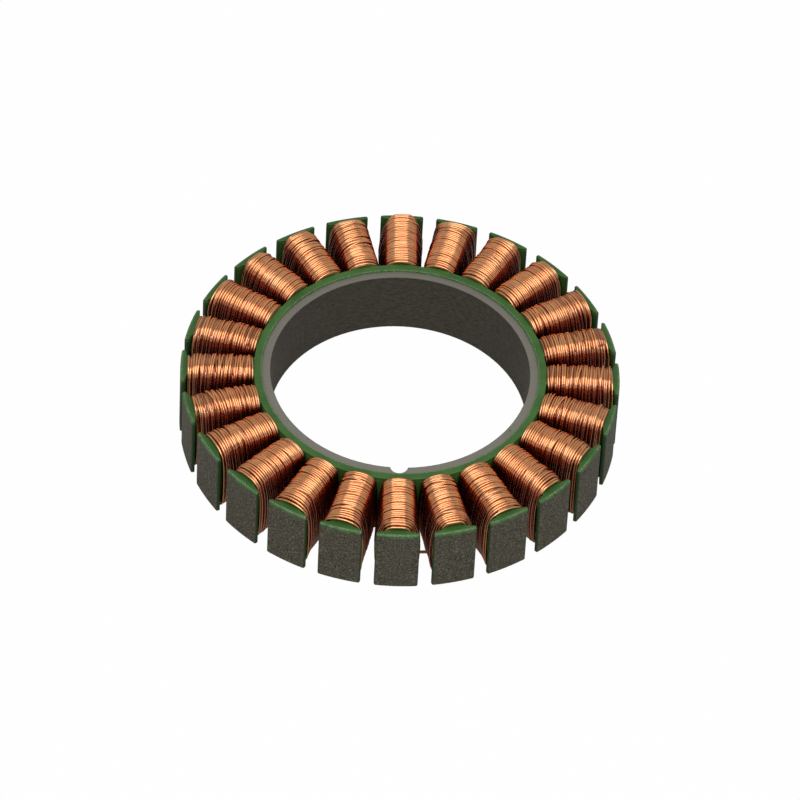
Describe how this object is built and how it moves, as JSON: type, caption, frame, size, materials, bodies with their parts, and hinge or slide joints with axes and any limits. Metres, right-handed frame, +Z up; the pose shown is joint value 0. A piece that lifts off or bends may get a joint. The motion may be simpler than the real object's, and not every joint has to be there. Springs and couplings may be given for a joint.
{
  "type": "frameless motor stator",
  "caption": "Wound stator ring of an outer-rotor frameless motor: epoxy-coated lamination stack with outward teeth, a copper coil on each, a plain bore and a locating notch.",
  "frame": {"origin": "on the bore axis, in the plane that the coil ends rest on", "axes": "+Z up along the bore axis; the locating notch in the bore faces -Y"},
  "size_m": [0.06, 0.06, 0.0124],
  "materials": {
    "lamination_steel": "bare electrical steel, ground bore and end rings, dark speckled punched faces",
    "green_epoxy": "baked powder coat, satin gloss",
    "enamelled_copper": "clear enamelled copper magnet wire"
  },
  "bodies": {
    "root": {"lamination_stack": "lamination_steel", "epoxy_coating": "green_epoxy", "coil_01": "enamelled_copper", "coil_02": "enamelled_copper", "coil_03": "enamelled_copper", "coil_04": "enamelled_copper", "coil_05": "enamelled_copper", "coil_06": "enamelled_copper", "coil_07": "enamelled_copper", "coil_08": "enamelled_copper", "coil_09": "enamelled_copper", "coil_10": "enamelled_copper", "coil_11": "enamelled_copper", "coil_12": "enamelled_copper", "coil_13": "enamelled_copper", "coil_14": "enamelled_copper", "coil_15": "enamelled_copper", "coil_16": "enamelled_copper", "coil_17": "enamelled_copper", "coil_18": "enamelled_copper", "coil_19": "enamelled_copper", "coil_20": "enamelled_copper", "coil_21": "enamelled_copper", "coil_22": "enamelled_copper", "coil_23": "enamelled_copper", "coil_24": "enamelled_copper", "phase_u_wires": "enamelled_copper", "phase_v_wires": "enamelled_copper", "phase_w_wires": "enamelled_copper"}
  },
  "joints": []
}
